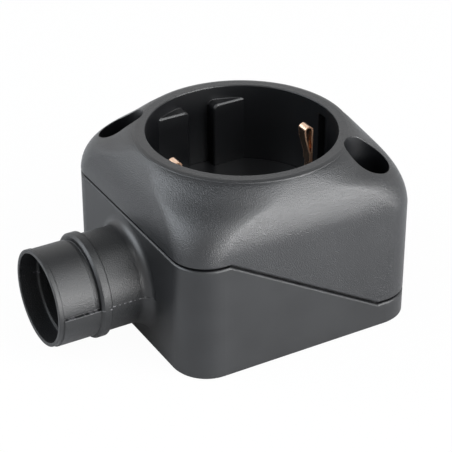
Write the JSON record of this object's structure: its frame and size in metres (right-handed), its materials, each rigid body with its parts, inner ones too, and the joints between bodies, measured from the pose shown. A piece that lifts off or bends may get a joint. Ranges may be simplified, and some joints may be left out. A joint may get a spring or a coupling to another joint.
{
  "type": "earthed socket box",
  "caption": "Surface socket box: domed cover with a round plug well, guide lugs and side earth clips, on a base with a stepped seam and a ringed conduit spigot.",
  "frame": {"origin": "on the mounting face at the axis of the plug well", "axes": "+Z along the well's axis out of the wall, -X along the spigot, +Y completing the set"},
  "size_m": [0.0729, 0.053, 0.0383],
  "materials": {
    "cover_plastic": "fine spark-eroded grain, satin black",
    "base_plastic": "smooth satin black",
    "carrier_plastic": "plain moulded",
    "contact_brass": "bright rolled",
    "earth_bronze": "bright rolled copper alloy",
    "spring_steel": "plain",
    "plated_steel": "zinc plated"
  },
  "bodies": {
    "root": {"cover": "cover_plastic", "well_floor": "carrier_plastic", "base": "base_plastic", "contact_carrier": "carrier_plastic", "back_plate": "carrier_plastic", "back_plate_screws": "plated_steel", "live_contact": "contact_brass", "neutral_contact": "contact_brass", "live_spring": "spring_steel", "neutral_spring": "spring_steel", "earth_contact": "earth_bronze", "live_terminal": "contact_brass", "neutral_terminal": "contact_brass", "earth_terminal": "contact_brass", "live_terminal_screw": "plated_steel", "neutral_terminal_screw": "plated_steel", "earth_terminal_screw": "plated_steel", "live_clamp_plate": "plated_steel", "neutral_clamp_plate": "plated_steel", "earth_clamp_plate": "plated_steel", "cover_screws": "plated_steel", "cover_screw_washers": "plated_steel", "threaded_inserts": "contact_brass"}
  },
  "joints": []
}
